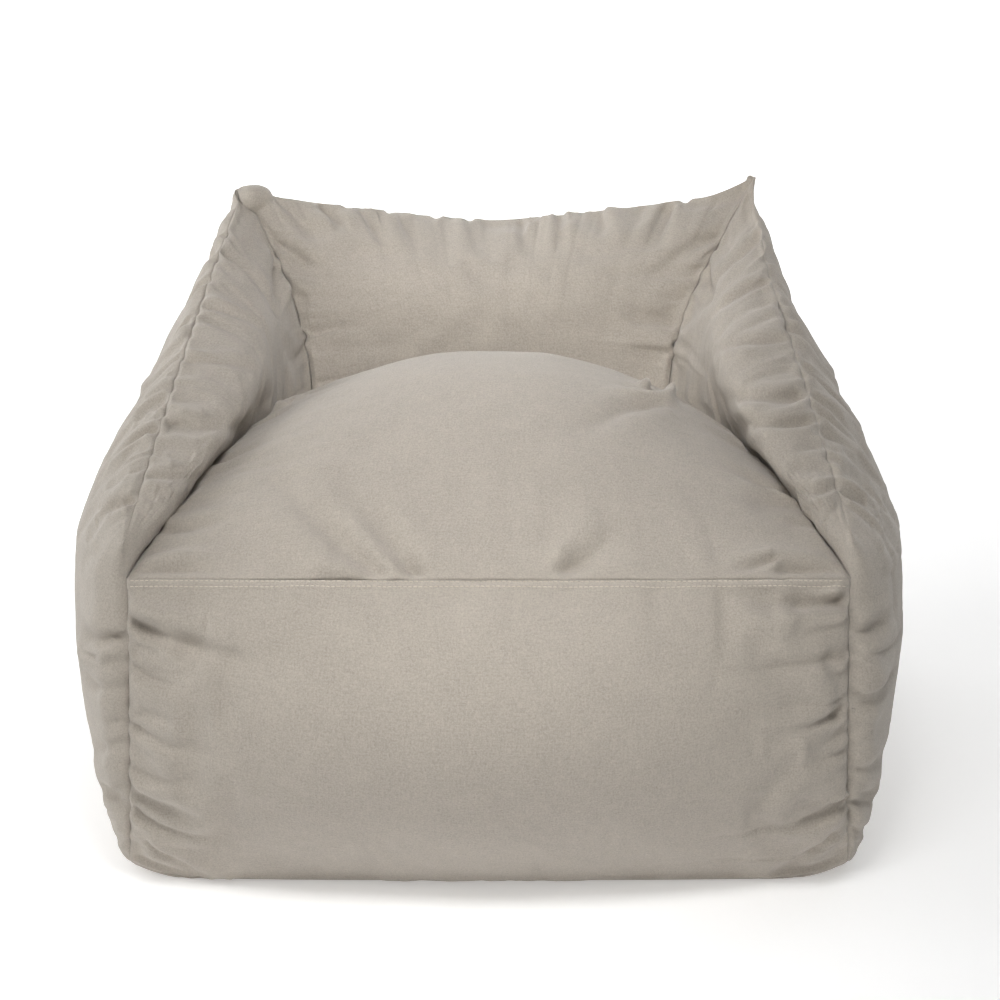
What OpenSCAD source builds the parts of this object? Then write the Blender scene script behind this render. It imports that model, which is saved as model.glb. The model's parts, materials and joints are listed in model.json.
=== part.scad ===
// Bean bag armchair: a loose cover of ten sewn panels, a zipped inner liner and a fill of beads.
// The front faces -Y, +Z is up, and the origin is on the floor under the middle of the bag.
// Left is the -X side, as seen by someone who stands in front of the chair.

/* [Seat and arms] */
// Half the width of the seat's front seam
seat_front_x = 347; // [335:1:355]
// How far ahead of the origin the ends of the front seam are
seat_front_y = 323.5; // [318:0.5:328]
// Height of the ends of the front seam
seat_front_z = 332; // [322:1:342]
// Height of the blunt front end of each arm above the front seam
arm_nose = 32; // [26:1:38]
// Half the width of the seam between the seat and the backrest
seat_rear_x = 207; // [195:1:215]
// How far behind the origin the ends of that seam are
seat_rear_y = 128.5; // [124:0.5:134]
// Height of the ends of that seam
seat_rear_z = 398; // [390:1:405]
// Half the width between the two top corners of the back
back_top_x = 298; // [290:1:305]
// How far behind the origin the top corners are
back_top_y = 262.5; // [257:0.5:268]
// Height of the top corners
back_top_z = 624; // [610:1:635]
// How far the middle of the back's top edge hangs below its corners
back_top_sag = 36; // [28:1:44]

/* [Base] */
// Half the width of the base at the front
base_front_x = 352; // [340:1:360]
// How far ahead of the origin the front of the base is
base_front_y = 301.5; // [297:0.5:306]
// Half the width of the base at the rear
base_rear_x = 308; // [300:1:315]
// How far behind the origin the rear of the base is
base_rear_y = 358.5; // [354:0.5:362]

/* [Fullness] */
// How far the fill pushes the front panel out
front_bulge = 62; // [50:1:70]
// How far the fill pushes the seat panel up
seat_bulge = 90; // [75:1:95]
// How far the fill pushes the backrest forwards
back_bulge = 40; // [30:1:45]
// How far the fill pushes each inner arm panel in
arm_bulge = 48; // [40:1:52]
// How far the fill pushes each side panel out
side_bulge = 85; // [75:1:92]
// How far the fill pushes the rear panel out
rear_bulge = 55; // [45:1:60]
// How far the fill pushes the low rear band out
rear_band_bulge = 16; // [14:1:18]

/* [Fabric] */
// Thickness of the cover's woven fabric
cover_t = 1.2; // [0.8:0.1:1.4]
// Thickness of the inner liner's fabric
liner_t = 0.8; // [0.5:0.1:0.9]
// How far the liner lies inside the face of the cover
liner_inset = 10; // [9:0.5:11]
// How far the beads lie inside the face of the cover
fill_inset = 24; // [23:0.5:26]

/* [Stitching] */
// Thickness of the sewing thread
thread_d = 0.9; // [0.6:0.1:1.0]
// How far below the front seam the upper row of topstitching runs
stitch_edge = 2.2; // [1.8:0.1:3]
// Distance from there to the lower row
stitch_rows = 5.8; // [5:0.1:7]

/* [Zips] */
// Height of the zips above the floor
zip_z = 86; // [82:1:90]
// How far behind the origin the cover's zip is
zip_y = 374.5; // [372:0.5:377]
// Half the width of the seam that the zips are set into
zip_seam_x = 312; // [306:1:318]
// Half the length of each zip between its stops
zip_half = 246; // [220:1:248]
// Width of each zip's joined coils
coil_w = 4.4; // [4:0.1:4.6]
// Thickness of the coils
coil_t = 2; // [1.6:0.1:2]
// Width of each zip tape beyond its coil
tape_w = 11; // [9:0.5:12]
// Thickness of a zip tape
tape_t = 0.6; // [0.4:0.1:0.6]
// Length of the slider
slider_l = 12; // [10:0.5:12]
// Length of the pull tab from its pin to its tip
pull_l = 30; // [24:1:32]

/* [Hidden] */

cover_colour = "#B4AA9E";
side_colour = "#A89E92";
thread_colour = "#DCD3C4";
zip_colour = "#A79D90";
metal_colour = "#9A9A98";
liner_colour = "#EEECE8";
bead_colour = "#F8F8F6";

// Pieces of curve or mesh along each direction
across = 12;
arm_run = 10;
arm_rows = 6;
band_rows = 2;
rear_rows = 10;

// Space between layers that lie on one another
layer_gap = 0.3;
// Height of the cover's, the liner's and the beads' lowest edge
cover_floor = cover_t;
liner_floor = cover_t + layer_gap + liner_t;
fill_floor = liner_floor + layer_gap;
// Half the height of the opening that each zip lies in
zip_slot = 7;
// How far inside the cover its seams are sewn, and how far a seam thread lies above an edge
seam_inset = 4.5;
seam_rise = 1.2;

// A layer of the bag: how far in it lies, the height of its lowest edge, half its zip opening
COVER_OUT = [0, cover_floor, zip_slot];
COVER_IN = [cover_t, cover_floor, zip_slot];
SEAM = [seam_inset, cover_floor + seam_rise, zip_slot];
LINER_OUT = [liner_inset, liner_floor, zip_slot];
LINER_IN = [liner_inset + liner_t, liner_floor, zip_slot];
LINER_SEAM = [(liner_inset + liner_t + fill_inset) / 2, liner_floor + seam_rise, zip_slot];
FILL = [fill_inset, fill_floor, 0];

// Which way each upper corner, and the middle of the seat side seam, moves into the bag for
// the inner layers, for each unit of inset
seat_front_inwards = [0, 1.1, 0];
arm_front_inwards = [-0.3, 1.3, 0.35];
seat_rear_inwards = [0.2, 0.4, -0.8];
back_top_inwards = [0, 0, -2];
seat_side_inwards = [0.7, -0.3, -0.4];

// The front of the arm top, measured from the front corner of the seat
arm_front_ahead = 3;
arm_front_behind = 12;

// How far the middle of each seam is pushed out of the straight line between its ends
base_front_push = [0, -25, 0];
base_rear_push = [0, 14, 0];
base_side_push = [34, 0, 0];
front_push = [0, -22, 6];
seat_back_push = [0, 15, 20];
back_top_push = [0, 16, -back_top_sag];
side_front_push = [14, -26, 0];
seat_side_push = [6, 0, 16];
arm_top_push = [4, 0, 2];
arm_back_push = [-20, -15, 0];
rear_low_push = [2, 4, 0];
rear_high_push = [14, 30, 0];
straight = [0, 0, 0];

// How soon the zip slot closes towards its ends
slot_squareness = 8;

// Corners of the right-hand half
function seat_front(s) = [seat_front_x, -seat_front_y, seat_front_z] + s[0] * seat_front_inwards;
function arm_front(s) = [seat_front_x + arm_front_ahead, arm_front_behind - seat_front_y,
    seat_front_z + arm_nose] + s[0] * arm_front_inwards;
function back_top(s) = [back_top_x, back_top_y, back_top_z] + s[0] * back_top_inwards;
function seat_rear(s) = [seat_rear_x, seat_rear_y, seat_rear_z] + s[0] * seat_rear_inwards;
function base_front(s) = [base_front_x - s[0], s[0] - base_front_y, s[1]];
function base_rear(s) = [base_rear_x - s[0], base_rear_y - s[0], s[1]];
function zip_end(s) = [zip_seam_x - s[0], zip_y - s[0], zip_z];

// The same place on the left-hand half
function left(p) = [-p.x, p.y, p.z];
function left_line(line) = [for (p = line) left(p)];
function turned(line) = [for (i = [len(line) - 1:-1:0]) line[i]];
function join(a, b) = concat(a, [for (i = [1:len(b) - 1]) b[i]]);

// A seam: a curve from p to q whose middle is pushed out of the straight line
function bent(p, q, push, t) = (1 - t) ^ 2 * p + t * (1 - t) * (p + q + 4 * push) + t ^ 2 * q;
function seam(p, q, push, n) = [for (i = [0:n]) i == 0 ? p : i == n ? q : bent(p, q, push, i / n)];

// Seams that run across the whole bag, from left to right
function base_front_seam(s) = seam(left(base_front(s)), base_front(s), base_front_push, across);
function base_rear_seam(s) = seam(left(base_rear(s)), base_rear(s), base_rear_push, across);
function front_seam(s) = seam(left(seat_front(s)), seat_front(s), front_push, across);
function seat_back_seam(s) = seam(left(seat_rear(s)), seat_rear(s), seat_back_push, across);
function back_top_seam(s) = seam(left(back_top(s)), back_top(s), back_top_push, across);
function zip_edge(s, side) = [for (i = [0:across])
    let (k = 2 * i / across - 1, e = zip_end(s))
    [k * e.x, e.y, e.z + side * s[2] * (1 - abs(k) ^ slot_squareness)]];

// Seams of the right-hand half, from the front to the rear or upwards
function base_side_seam(s) = seam(base_front(s), base_rear(s), base_side_push, arm_run);
function side_front_seam(s) = seam(base_front(s), seat_front(s), side_front_push, arm_rows);
function arm_nose_seam(s) = seam(seat_front(s), arm_front(s), straight, arm_rows);
function seat_side_seam(s) = seam(seat_front(s), seat_rear(s),
    seat_side_push + s[0] * seat_side_inwards, arm_run);
function arm_top_seam(s) = seam(arm_front(s), back_top(s), arm_top_push, arm_run);
function arm_back_seam(s) = seam(seat_rear(s), back_top(s), arm_back_push, arm_rows);
function rear_low_seam(s) = seam(base_rear(s), zip_end(s), rear_low_push, band_rows);
function rear_high_seam(s) = seam(zip_end(s), back_top(s), rear_high_push, rear_rows);

// How far the cloth has swollen at t across a panel: nothing at the seams, 1 at the peak
function swell(t, steepness, peak) = sin(180 * t ^ (ln(0.5) / ln(peak))) ^ steepness;

// Rows of points over a panel between its four seams, blown out along a direction.
// blow is [direction, steepness along, steepness up, peak along, peak up].
function cloth(bottom, top, start, end, height, blow) =
    let (n = len(bottom) - 1, m = len(start) - 1)
    [for (j = [0:m]) [for (i = [0:n])
        j == 0 ? bottom[i] : j == m ? top[i] : i == 0 ? start[j] : i == n ? end[j] :
        let (u = i / n, v = j / m)
        (1 - v) * bottom[i] + v * top[i] + (1 - u) * start[j] + u * end[j]
        - (1 - u) * (1 - v) * bottom[0] - u * (1 - v) * bottom[n]
        - (1 - u) * v * top[0] - u * v * top[n]
        + height * swell(u, blow[1], blow[3]) * swell(v, blow[2], blow[4]) * blow[0]]];

function front_cloth(s) = cloth(base_front_seam(s), front_seam(s),
    left_line(side_front_seam(s)), side_front_seam(s),
    front_bulge, [[0, -1, -0.1], 0.75, 0.75, 0.5, 0.5]);
function seat_cloth(s) = cloth(front_seam(s), seat_back_seam(s),
    left_line(seat_side_seam(s)), seat_side_seam(s),
    seat_bulge, [[0, -0.15, 1], 0.8, 0.7, 0.5, 0.55]);
function back_cloth(s) = cloth(seat_back_seam(s), back_top_seam(s),
    left_line(arm_back_seam(s)), arm_back_seam(s),
    back_bulge, [[0, -1, 0.3], 0.9, 0.9, 0.5, 0.6]);
function arm_cloth(s) = cloth(turned(seat_side_seam(s)), turned(arm_top_seam(s)),
    arm_back_seam(s), arm_nose_seam(s),
    arm_bulge, [[-1, -0.1, 0.35], 0.8, 0.8, 0.4, 0.62]);
function side_cloth(s) = cloth(base_side_seam(s), arm_top_seam(s),
    join(side_front_seam(s), arm_nose_seam(s)), join(rear_low_seam(s), rear_high_seam(s)),
    side_bulge, [[1, 0, 0.04], 0.6, 0.72, 0.42, 0.46]);
function rear_cloth(s) = cloth(turned(zip_edge(s, 1)), turned(back_top_seam(s)),
    rear_high_seam(s), left_line(rear_high_seam(s)),
    rear_bulge, [[0, 1, 0.1], 0.8, 0.8, 0.5, 0.4]);
function band_cloth(s) = cloth(turned(base_rear_seam(s)), turned(zip_edge(s, -1)),
    rear_low_seam(s), left_line(rear_low_seam(s)),
    rear_band_bulge, [[0, 1, 0], 0.6, 0.8, 0.5, 0.5]);
function left_cloth(rows) = [for (row = rows) turned(left_line(row))];

// Every panel of a layer but the low rear band and the base
function upper_cloths(s) = [front_cloth(s), seat_cloth(s), back_cloth(s), arm_cloth(s),
    left_cloth(arm_cloth(s)), side_cloth(s), left_cloth(side_cloth(s)), rear_cloth(s)];

// Edge of the base, seen from above, once round from the front left corner
function footprint(s) = [for (line = [base_front_seam(s), base_side_seam(s),
    turned(base_rear_seam(s)), turned(left_line(base_side_seam(s)))])
    each [for (i = [0:len(line) - 2]) line[i]]];
// Edge that the upper panels leave open: the base, the rear corners and the zip
function open_edge(s) = [for (line = [base_front_seam(s), base_side_seam(s), rear_low_seam(s),
    turned(zip_edge(s, 1)), turned(left_line(rear_low_seam(s))),
    turned(left_line(base_side_seam(s)))])
    each [for (i = [0:len(line) - 2]) line[i]]];

function flat_list(rows) = [for (row = rows) each row];
// Triangles over rows of points whose first number is at, turned over for an inner face
function row_faces(rows, at, inward) =
    let (n = len(rows[0]) - 1, m = len(rows) - 1)
    [for (j = [0:m - 1], i = [0:n - 1])
        let (a = at + j * (n + 1) + i, b = a + 1, c = a + n + 2, d = a + n + 1)
        each inward ? [[a, b, c], [a, c, d]] : [[a, c, b], [a, d, c]]];
// Faces that close the gap between two rings of count points
function ring_faces(count, outer, inner) = [for (k = [0:count - 1])
    let (next = (k + 1) % count)
    each [[inner + k, outer + k, outer + next], [inner + next, inner + k, outer + next]]];
function rim(rows) =
    let (n = len(rows[0]) - 1, m = len(rows) - 1)
    concat([for (i = [0:n - 1]) rows[0][i]], [for (j = [0:m - 1]) rows[j][n]],
        [for (i = [n:-1:1]) rows[m][i]], [for (j = [m:-1:1]) rows[j][0]]);
// Place of each cloth's first point in one long list
function starts(cloths, at = 0, k = 0) = k == len(cloths) ? [] :
    concat([at], starts(cloths, at + len(cloths[k]) * len(cloths[k][0]), k + 1));
function points_of(cloths) = [for (rows = cloths) each flat_list(rows)];
function faces_of(cloths, at, inward) =
    let (first = starts(cloths, at))
    [for (k = [0:len(cloths) - 1]) each row_faces(cloths[k], first[k], inward)];

// Fabric between an outer and an inner set of cloths, closed along one open edge
module fabric(outer, inner, edge_out, edge_in) {
    outer_points = points_of(outer);
    inner_points = points_of(inner);
    inner_at = len(outer_points);
    edge_at = inner_at + len(inner_points);
    edge_count = len(edge_out);
    polyhedron(
        points = concat(outer_points, inner_points, edge_out, edge_in),
        faces = concat(faces_of(outer, 0, false), faces_of(inner, inner_at, true),
            ring_faces(edge_count, edge_at, edge_at + edge_count)),
        convexity = 6);
}

module panel(outer, inner) {
    fabric([outer], [inner], rim(outer), rim(inner));
}

// A thread or cord of diameter d along a line of points, open at both ends or closed in a ring
module thread(line, d, across_hint = [0, 0, 1], closed = false) {
    sides = 6;
    last = len(line) - 1;
    points = [for (i = [0:last])
        let (before = closed ? line[(i + last) % (last + 1)] : line[max(i - 1, 0)],
            after = closed ? line[(i + 1) % (last + 1)] : line[min(i + 1, last)],
            along = (after - before) / norm(after - before),
            aside = cross(along, across_hint) / norm(cross(along, across_hint)),
            above = cross(along, aside))
        each [for (k = [0:sides - 1])
            line[i] + d / 2 * (cos(360 * k / sides) * aside + sin(360 * k / sides) * above)]];
    rings = closed ? last : last - 1;
    walls = [for (i = [0:rings], k = [0:sides - 1])
        let (row = i * sides, next_row = ((i + 1) % (last + 1)) * sides, next = (k + 1) % sides)
        each [[row + k, row + next, next_row + next], [row + k, next_row + next, next_row + k]]];
    caps = closed ? [] : [[for (k = [sides - 1:-1:0]) k],
        [for (k = [0:sides - 1]) last * sides + k]];
    polyhedron(points = points, faces = concat(walls, caps), convexity = 6);
}

// The part of a seam that is clear of its corners
function inner_run(line) = [for (i = [1:len(line) - 2]) line[i]];

// Space between the cloth and a row of topstitching, which runs straight over its facets
stitch_gap = 0.8;

// A row of topstitching on the face of the front panel, a short way below its top seam
function stitch_line(below) =
    let (rows = front_cloth(COVER_OUT), lift = thread_d / 2 + stitch_gap)
    [for (i = [1:across - 1])
        let (away = rows[arm_rows - 1][i] - rows[arm_rows][i],
            along = rows[arm_rows][i + 1] - rows[arm_rows][i - 1],
            outwards = cross(away, along))
        rows[arm_rows][i] + below * away / norm(away) + lift * outwards / norm(outwards)];

/* Panels of the cover */
module front_panel() {
    color(cover_colour) panel(front_cloth(COVER_OUT), front_cloth(COVER_IN));
}
module seat_panel() {
    color(cover_colour) panel(seat_cloth(COVER_OUT), seat_cloth(COVER_IN));
}
module backrest_panel() {
    color(cover_colour) panel(back_cloth(COVER_OUT), back_cloth(COVER_IN));
}
module right_arm_panel() {
    color(side_colour) panel(arm_cloth(COVER_OUT), arm_cloth(COVER_IN));
}
module left_arm_panel() {
    color(side_colour) mirror([1, 0, 0]) right_arm_panel();
}
module right_side_panel() {
    color(side_colour) panel(side_cloth(COVER_OUT), side_cloth(COVER_IN));
}
module left_side_panel() {
    color(side_colour) mirror([1, 0, 0]) right_side_panel();
}
module rear_panel() {
    color(cover_colour) panel(rear_cloth(COVER_OUT), rear_cloth(COVER_IN));
}
module rear_zip_band() {
    color(cover_colour) panel(band_cloth(COVER_OUT), band_cloth(COVER_IN));
}
module base_panel() {
    color(side_colour) linear_extrude(cover_t)
        polygon([for (p = footprint(COVER_OUT)) [p.x, p.y]]);
}

/* Threads of the cover */
module front_topstitch_upper() {
    color(thread_colour) thread(stitch_line(stitch_edge), thread_d);
}
module front_topstitch_lower() {
    color(thread_colour) thread(stitch_line(stitch_edge + stitch_rows), thread_d);
}
module seat_back_seam_thread() {
    color(thread_colour) thread(inner_run(seat_back_seam(SEAM)), thread_d);
}
module back_top_seam_thread() {
    color(thread_colour) thread(inner_run(back_top_seam(SEAM)), thread_d);
}
module right_front_seam_thread() {
    color(thread_colour) thread(inner_run(side_front_seam(SEAM)), thread_d, [0, 1, 0]);
}
module left_front_seam_thread() {
    mirror([1, 0, 0]) right_front_seam_thread();
}
module right_seat_seam_thread() {
    color(thread_colour) thread(inner_run(seat_side_seam(SEAM)), thread_d);
}
module left_seat_seam_thread() {
    mirror([1, 0, 0]) right_seat_seam_thread();
}
module right_back_seam_thread() {
    color(thread_colour) thread(inner_run(arm_back_seam(SEAM)), thread_d);
}
module left_back_seam_thread() {
    mirror([1, 0, 0]) right_back_seam_thread();
}
module right_arm_top_seam_thread() {
    color(thread_colour) thread(inner_run(arm_top_seam(SEAM)), thread_d);
}
module left_arm_top_seam_thread() {
    mirror([1, 0, 0]) right_arm_top_seam_thread();
}
module right_rear_seam_thread() {
    color(thread_colour) thread(inner_run(rear_high_seam(SEAM)), thread_d, [0, 1, 0]);
}
module left_rear_seam_thread() {
    mirror([1, 0, 0]) right_rear_seam_thread();
}
module base_seam_thread() {
    color(thread_colour) thread(footprint(SEAM), thread_d, closed = true);
}

// Clearance between the slider and what runs through it
run_gap = 0.3;
// The slider's plates, with their corners cut off, and their turned-in edges
plate_t = 1.5;
slider_w = 9;
slider_corner = 1;
slider_shoulder = 2.5;
flange_w = 1.2;
flange_short = 3;
// The wedge between the plates, measured back from the end that opens the zip
wedge_start = 4;
wedge_end = 1.2;
wedge_w = 2.2;
// Middle of the slider at rest, against the top stops
slider_x = zip_half - slider_l / 2;
// How far the zip's tape lies inside the face of its panels, and how far it runs past the coil
tape_gap = 0.1;
tape_depth = cover_t + tape_gap + tape_t / 2;
tape_end = 8;
plate_y = coil_t / 2 + run_gap;
// How far the coil runs into the slider, past its middle
coil_end = 1;
stop_l = 3;
stop_t = coil_t + 0.4;
// Room under the slider's bridge, and the pin of the pull tab that turns in it
bridge_room = 2.2;
bridge_t = 1;
bridge_l = 8;
bridge_leg = 1.2;
bridge_w = 2;
pin_d = 1.6;
pin_y = plate_y + plate_t + bridge_room / 2;
pull_w = 8;
pull_t = 1.4;
// The slot in the pull that the bridge lies in
pull_slot_far = 6.5;
pull_slot_l = 8;
pull_slot_room = 0.5;

// Everything of a zip is drawn about the middle of its tape, with +Y out of the bag
module at_zip(layer) {
    translate([0, zip_y - layer[0] - tape_depth, zip_z]) children();
}
module block(x, y, z) {
    translate([x[0], y[0], z[0]]) cube([x[1] - x[0], y[1] - y[0], z[1] - z[0]]);
}
module tape(side) {
    outer = coil_w / 2 + tape_w;
    block([-zip_half - tape_end, zip_half + tape_end], [-tape_t / 2, tape_t / 2],
        side > 0 ? [coil_w / 2, outer] : [-outer, -coil_w / 2]);
}
// One row of the coil: its teeth lock with the other row's along the middle of the zip
module coil(side) {
    block([-zip_half, slider_x + coil_end], [-coil_t / 2, coil_t / 2],
        side > 0 ? [0, coil_w / 2] : [-coil_w / 2, 0]);
}
module top_stops() {
    for (side = [-1, 1])
        block([zip_half, zip_half + stop_l], [-stop_t / 2, stop_t / 2],
            side > 0 ? [run_gap, coil_w / 2] : [-coil_w / 2, -run_gap]);
}
module bottom_stop() {
    block([-zip_half - stop_l, -zip_half], [-stop_t / 2, stop_t / 2],
        [-coil_w / 2, coil_w / 2]);
}
// Two plates joined by a wedge at the end that opens the zip, with turned-in edges
module slider_body() {
    translate([slider_x, 0, 0]) {
        for (side = [-1, 1]) {
            near = side * plate_y;
            far = side * (plate_y + plate_t);
            translate([0, min(near, far) + plate_t, 0]) rotate([90, 0, 0])
                linear_extrude(plate_t) slider_outline();
            for (edge = [-1, 1])
                block([-slider_l / 2 + slider_corner, slider_l / 2 - flange_short],
                    side > 0 ? [tape_t / 2 + run_gap, plate_y] : [-plate_y, -tape_t / 2 - run_gap],
                    edge > 0 ? [slider_w / 2 - flange_w, slider_w / 2]
                        : [-slider_w / 2, flange_w - slider_w / 2]);
        }
        block([slider_l / 2 - wedge_start, slider_l / 2 - wedge_end], [-plate_y, plate_y],
            [-wedge_w / 2, wedge_w / 2]);
    }
}
module slider_outline() {
    x = slider_l / 2;
    y = slider_w / 2;
    near = slider_corner;
    far = slider_shoulder;
    polygon([[-x, -y + near], [-x + near, -y], [x - far, -y], [x, -y + far],
        [x, y - far], [x - far, y], [-x + near, y], [-x, y - near]]);
}
module slider_bridge() {
    foot = plate_y + plate_t;
    translate([slider_x, 0, 0]) {
        for (end = [-1, 1])
            block(end > 0 ? [bridge_l / 2 - bridge_leg, bridge_l / 2]
                    : [-bridge_l / 2, bridge_leg - bridge_l / 2],
                [foot, foot + bridge_room], [-bridge_w / 2, bridge_w / 2]);
        block([-bridge_l / 2, bridge_l / 2], [foot + bridge_room, foot + bridge_room + bridge_t],
            [-bridge_w / 2, bridge_w / 2]);
    }
}
// Outline of the tab from its pin at the origin to its round tip at -X
module pull_outline() {
    difference() {
        union() {
            circle(d = pin_d, $fn = 32);
            translate([-pull_l + pull_w / 2, -pull_w / 2])
                square([pull_l - pull_w / 2, pull_w]);
            translate([-pull_l + pull_w / 2, 0]) circle(d = pull_w, $fn = 48);
        }
        translate([-pull_slot_far, -bridge_w / 2 - pull_slot_room])
            square([pull_slot_l, bridge_w + 2 * pull_slot_room]);
    }
}

/* Zip of the cover */
module cover_zip_upper_tape() {
    color(zip_colour) at_zip(COVER_OUT) tape(1);
}
module cover_zip_lower_tape() {
    color(zip_colour) at_zip(COVER_OUT) tape(-1);
}
module cover_zip_upper_coil() {
    color(zip_colour) at_zip(COVER_OUT) coil(1);
}
module cover_zip_lower_coil() {
    color(zip_colour) at_zip(COVER_OUT) coil(-1);
}
module cover_zip_top_stops() {
    color(zip_colour) at_zip(COVER_OUT) top_stops();
}
module cover_zip_bottom_stop() {
    color(zip_colour) at_zip(COVER_OUT) bottom_stop();
}
module cover_zip_slider() {
    color(metal_colour) at_zip(COVER_OUT) union() {
        slider_body();
        slider_bridge();
    }
}
module cover_zip_pull() {
    color(metal_colour) at_zip(COVER_OUT) translate([slider_x, pin_y, 0]) union() {
        translate([0, pull_t / 2, 0]) rotate([90, 0, 0]) linear_extrude(pull_t) pull_outline();
        cylinder(d = pin_d, h = pull_w, center = true, $fn = 32);
    }
}

/* Liner and beads */
module liner_bag() {
    color(liner_colour) fabric(upper_cloths(LINER_OUT), upper_cloths(LINER_IN),
        open_edge(LINER_OUT), open_edge(LINER_IN));
}
module liner_base() {
    color(liner_colour) translate([0, 0, liner_floor - liner_t]) linear_extrude(liner_t)
        polygon([for (p = footprint(LINER_OUT)) [p.x, p.y]]);
}
module liner_rear_band() {
    color(liner_colour) panel(band_cloth(LINER_OUT), band_cloth(LINER_IN));
}
module liner_seam_threads() {
    color(thread_colour) {
        thread(inner_run(front_seam(LINER_SEAM)), thread_d);
        thread(inner_run(seat_back_seam(LINER_SEAM)), thread_d);
        thread(inner_run(back_top_seam(LINER_SEAM)), thread_d);
        for (side = [0, 1]) mirror([side, 0, 0]) {
            thread(inner_run(side_front_seam(LINER_SEAM)), thread_d, [0, 1, 0]);
            thread(inner_run(seat_side_seam(LINER_SEAM)), thread_d);
            thread(inner_run(arm_back_seam(LINER_SEAM)), thread_d);
            thread(inner_run(arm_top_seam(LINER_SEAM)), thread_d);
            thread(inner_run(rear_high_seam(LINER_SEAM)), thread_d, [0, 1, 0]);
        }
    }
}
module liner_zip_upper_tape() {
    color(liner_colour) at_zip(LINER_OUT) tape(1);
}
module liner_zip_lower_tape() {
    color(liner_colour) at_zip(LINER_OUT) tape(-1);
}
module liner_zip_upper_coil() {
    color(liner_colour) at_zip(LINER_OUT) coil(1);
}
module liner_zip_lower_coil() {
    color(liner_colour) at_zip(LINER_OUT) coil(-1);
}
module liner_zip_stops() {
    color(liner_colour) at_zip(LINER_OUT) {
        top_stops();
        bottom_stop();
    }
}
// The liner's slider has no bridge and no pull, so that a child can't open it
module liner_zip_slider() {
    color(metal_colour) at_zip(LINER_OUT) slider_body();
}
module bead_fill() {
    cloths = concat(upper_cloths(FILL), [band_cloth(FILL)]);
    edge = footprint(FILL);
    edge_at = len(points_of(cloths));
    middle = edge_at + len(edge);
    color(bead_colour) polyhedron(
        points = concat(points_of(cloths), edge, [[0, 0, fill_floor]]),
        faces = concat(faces_of(cloths, 0, false),
            [for (k = [0:len(edge) - 1]) [middle, edge_at + k, edge_at + (k + 1) % len(edge)]]),
        convexity = 6);
}

front_panel();
seat_panel();
backrest_panel();
left_arm_panel();
right_arm_panel();
left_side_panel();
right_side_panel();
rear_panel();
rear_zip_band();
base_panel();
front_topstitch_upper();
front_topstitch_lower();
seat_back_seam_thread();
back_top_seam_thread();
left_front_seam_thread();
right_front_seam_thread();
left_seat_seam_thread();
right_seat_seam_thread();
left_back_seam_thread();
right_back_seam_thread();
left_arm_top_seam_thread();
right_arm_top_seam_thread();
left_rear_seam_thread();
right_rear_seam_thread();
base_seam_thread();
cover_zip_upper_tape();
cover_zip_lower_tape();
cover_zip_upper_coil();
cover_zip_lower_coil();
cover_zip_top_stops();
cover_zip_bottom_stop();
cover_zip_slider();
cover_zip_pull();
liner_bag();
liner_base();
liner_rear_band();
liner_seam_threads();
liner_zip_upper_tape();
liner_zip_lower_tape();
liner_zip_upper_coil();
liner_zip_lower_coil();
liner_zip_stops();
liner_zip_slider();
bead_fill();
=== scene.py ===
"""Looks of the bean bag armchair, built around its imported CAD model.

The cover is ten cloth panels between shared seams. Each panel is a grid of points: its even, filled
shape comes from the corners of the CAD panels, Blender's Cloth puffs and creases the whole sewn
cover, and the creases, seams and stitches are then worked into each panel at full detail.
Lengths are in metres. Left is the -X side.
"""
import json
import math

import bmesh
import bpy
import numpy as np
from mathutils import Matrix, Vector, kdtree
from numpy.linalg import norm


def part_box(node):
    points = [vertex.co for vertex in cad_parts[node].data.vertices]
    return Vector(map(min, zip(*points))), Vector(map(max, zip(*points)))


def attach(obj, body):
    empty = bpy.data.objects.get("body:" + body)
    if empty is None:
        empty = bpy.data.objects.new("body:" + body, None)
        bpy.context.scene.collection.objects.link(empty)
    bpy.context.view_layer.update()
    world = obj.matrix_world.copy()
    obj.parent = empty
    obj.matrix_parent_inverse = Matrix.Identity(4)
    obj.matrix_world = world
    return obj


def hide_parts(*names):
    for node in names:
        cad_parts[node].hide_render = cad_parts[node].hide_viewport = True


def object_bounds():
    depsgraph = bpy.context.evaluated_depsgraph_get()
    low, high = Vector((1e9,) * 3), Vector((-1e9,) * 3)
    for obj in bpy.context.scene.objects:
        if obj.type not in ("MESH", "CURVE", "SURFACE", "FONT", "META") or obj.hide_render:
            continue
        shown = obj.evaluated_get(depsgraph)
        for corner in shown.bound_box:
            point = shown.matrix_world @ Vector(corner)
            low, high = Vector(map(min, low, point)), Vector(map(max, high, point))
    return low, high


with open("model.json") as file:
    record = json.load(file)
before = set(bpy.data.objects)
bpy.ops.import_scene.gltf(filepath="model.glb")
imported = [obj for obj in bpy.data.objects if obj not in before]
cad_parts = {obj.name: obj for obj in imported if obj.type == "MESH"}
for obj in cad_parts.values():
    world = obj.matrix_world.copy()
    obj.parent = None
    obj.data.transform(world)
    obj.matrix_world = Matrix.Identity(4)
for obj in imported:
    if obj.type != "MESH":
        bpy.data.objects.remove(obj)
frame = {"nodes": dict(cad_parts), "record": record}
CAD_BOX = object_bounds()

# ---- camera, floor and light
CAMERA_DISTANCE = 2.256
CAMERA_HEIGHT_ANGLE = math.radians(16.5)
CAMERA_LENS = 71.46
AIM_ASIDE = 0.011
AIM_BACK = 0.0365
AIM_HEIGHT_SHARE = 0.487


def bell(x):
    return np.exp(-x ** 2)


def placed(name, data):
    """A new object with its data, in the scene."""
    piece = bpy.data.objects.new(name, data)
    bpy.context.scene.collection.objects.link(piece)
    return piece


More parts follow.
